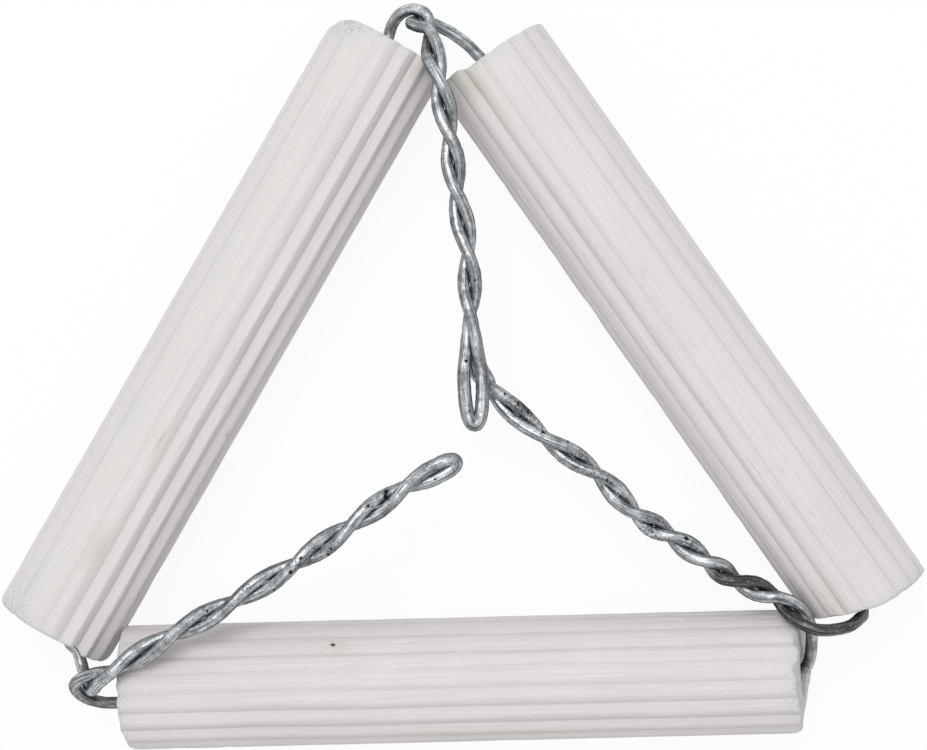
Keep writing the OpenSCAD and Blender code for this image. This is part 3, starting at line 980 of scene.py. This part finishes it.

# %% [markdown]
# ## Galvanised wire: pits, painted shade and burnt zinc
# Over the sound zinc lie, in this order, the pits and flaked spots, painted shade on the
# flanks and underside of the wire, and the scorch by the bores. On the burnt strand the zinc
# is gone: what shows there is dark iron scale with a few specks of pale ash.

# %% Layers over the zinc
flaked = add_node(tree, "Math", [(mark["worn"], 0)], operation="MULTIPLY", in_1=0.12)
thin_zinc = add_node(tree, "Math", [(grain, 0), (flaked.outputs["Value"], 1)],
                     operation="SUBTRACT")
flake_amount = add_node(tree, "MapRange", [(thin_zinc.outputs["Value"], "Value")],
                        in_From_Min=0.38, in_From_Max=0.3, in_To_Max=0.85)
hole = add_node(tree, "MapRange", [(mark["pit"], "Value")], in_From_Min=0.25, in_From_Max=0.6)
pit_amount = add_node(tree, "Math", [(flake_amount.outputs["Result"], 0),
                                     (hole.outputs["Result"], 1)], operation="ADD",
                      use_clamp=True)
# painted shade on the flanks and underside of the wire
flank_shade_amount = add_node(tree, "MapRange", [(mark["down"], "Value")], in_From_Max=0.8,
                       in_To_Max=0.8)
zinc_layers = ((pit_amount.outputs["Value"], "#2A2A2B"),
               (flank_shade_amount.outputs["Result"], "#45484B"), (mark["scorch"], "#55565A"))
for amount, code in zinc_layers:
    colour = add_node(tree, "Mix", [(amount, 0), (colour, 6)], data_type="RGBA",
                      in_7=hex_colour(code)).outputs[2]

burn_edge = add_node(tree, "Math", [(mark["burnt"], 0), (mottle, 1)], operation="MULTIPLY")
burn_amount = add_node(tree, "MapRange", [(burn_edge.outputs["Value"], "Value")],
                       in_From_Min=0.2, in_From_Max=0.42, in_To_Max=0.88)
scale_tone = add_node(tree, "MapRange", [(drawn, "Value")], in_From_Min=0.4, in_From_Max=0.62)
scale = add_node(tree, "Mix", [(scale_tone.outputs["Result"], 0)], data_type="RGBA",
                 in_6=hex_colour("#2B2A28"), in_7=hex_colour("#6B6963"))
ash_amount = add_node(tree, "MapRange", [(grain, "Value")], in_From_Min=0.58, in_From_Max=0.68,
                      in_To_Max=0.8)
ashy = add_node(tree, "Mix", [(ash_amount.outputs["Result"], 0), (scale.outputs[2], 6)],
                data_type="RGBA", in_7=hex_colour("#C9C8C2"))
burned = add_node(tree, "Mix", [(burn_amount.outputs["Result"], 0), (colour, 6),
                                (ashy.outputs[2], 7)], data_type="RGBA")
print("layers over the zinc:", len(zinc_layers) + 1)

# %% [markdown]
# ## Galvanised wire: gloss and relief
# Bright patches are a little smoother than dull ones. The drawn lines and the grain stand
# out by hundredths of a millimetre, which is bump and not mesh.

# %% Gloss, relief, and zinc on the wire
ZINC_RELIEF = 0.00005

rough = add_node(tree, "MapRange", [(mottle, "Value")], in_From_Min=0.35, in_From_Max=0.65,
                 in_To_Min=0.5, in_To_Max=0.38)
soft_grain = add_node(tree, "Math", [(grain, 0)], operation="MULTIPLY", in_1=0.4)
relief = add_node(tree, "Math", [(drawn, 0), (soft_grain.outputs["Value"], 1)], operation="ADD")
bump = add_node(tree, "Bump", [(relief.outputs["Value"], "Height")], in_Strength=0.6,
                in_Distance=ZINC_RELIEF)
shader = add_node(tree, "BsdfPrincipled", [(burned.outputs[2], "Base Color"),
                                           (rough.outputs["Result"], "Roughness"),
                                           (bump.outputs["Normal"], "Normal")],
                  in_Metallic=1.0)
add_node(tree, "OutputMaterial", [(shader.outputs["BSDF"], "Surface")])

wire.data.materials.append(zinc_skin)
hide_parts("wire")
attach(wire, "root")
print("zinc nodes:", len(zinc_skin.node_tree.nodes))

# %% [markdown]
# ## Table and background
# The part lies on a plain white table. To the camera, and in the wire's reflections, it is
# white with only a trace of the part's shadow; to the light it is a pale surface that throws
# some light back up. It lies a hair below the part, so that the two don't share a plane.

# %% White table
TABLE_HALF = 0.6
TABLE_DROP = 0.05
TABLE_WHITE = 0.92  # share of plain white where it is seen

table_white, tree = new_material("white_table_laminate")
path = add_node(tree, "LightPath")
seen = add_node(tree, "Math", [(path.outputs["Is Camera Ray"], 0),
                               (path.outputs["Is Glossy Ray"], 1)], operation="MAXIMUM")
seen_too = add_node(tree, "Math", [(seen.outputs["Value"], 0),
                                   (path.outputs["Is Transmission Ray"], 1)],
                    operation="MAXIMUM")
share = add_node(tree, "Math", [(seen_too.outputs["Value"], 0)], operation="MULTIPLY",
                 in_1=TABLE_WHITE)
pale = add_node(tree, "BsdfDiffuse", in_Color=hex_colour("#F4F4F4"))
white = add_node(tree, "Emission", in_Color=(1, 1, 1, 1), in_Strength=1.0)
mix = add_node(tree, "MixShader", [(share.outputs["Value"], 0), (pale.outputs["BSDF"], 1),
                                   (white.outputs["Emission"], 2)])
add_node(tree, "OutputMaterial", [(mix.outputs["Shader"], "Surface")])

corners = [(x * TABLE_HALF, y * TABLE_HALF, 0) for x, y in ((-1, -1), (1, -1), (1, 1), (-1, 1))]
table_mesh = bpy.data.meshes.new("table_top")
table_mesh.from_pydata(corners, [], [(0, 1, 2, 3)])
table_mesh.materials.append(table_white)
table = bpy.data.objects.new("table_top", table_mesh)
table.location.z = -TABLE_DROP * MM
bpy.context.scene.collection.objects.link(table)
print("table of", 2 * TABLE_HALF, "m")

# %% [markdown]
# ## Light
# The light is that of a small product table: a pale room all round and one large soft lamp,
# above and a little to the upper left. The room is brighter overhead than at the horizon,
# which shades the sides of the tubes, and white where the camera sees it. The lamp draws
# the soft streak along the wire and shades one side of the flutes.

# %% Room light and lamp
HORIZON_LIGHT, OVERHEAD_LIGHT = 0.48, 0.87
LAMP_PLACE = (-0.10, 0.19, 0.49)

world = bpy.data.worlds.new("pale_room")
bpy.context.scene.world = world
world.use_nodes = True
room = world.node_tree
room.nodes.clear()
towards = add_node(room, "SeparateXYZ", [(add_node(room, "TexCoord").outputs["Generated"],
                                          "Vector")])
height_light = add_node(room, "MapRange", [(towards.outputs["Z"], "Value")],
                        in_To_Min=HORIZON_LIGHT, in_To_Max=OVERHEAD_LIGHT)
seen_room = add_node(room, "Math", [(height_light.outputs["Result"], 0),
                                    (add_node(room, "LightPath").outputs["Is Camera Ray"], 1)],
                     operation="MAXIMUM")
background = add_node(room, "Background", [(seen_room.outputs["Value"], "Strength")],
                      in_Color=(1, 1, 1, 1))
add_node(room, "OutputWorld", [(background.outputs["Background"], "Surface")])

lamp_data = bpy.data.lights.new("soft_lamp", "AREA")
lamp_data.shape = "DISK"
lamp_data.size = 0.28
lamp_data.energy = 1.0
lamp = bpy.data.objects.new("soft_lamp", lamp_data)
lamp.location = LAMP_PLACE
lamp.rotation_euler = (-Vector(LAMP_PLACE)).to_track_quat("-Z", "Y").to_euler()
bpy.context.scene.collection.objects.link(lamp)
bpy.context.scene.view_settings.view_transform = "Standard"
print("lamp distance in mm:", round(Vector(LAMP_PLACE).length / MM))
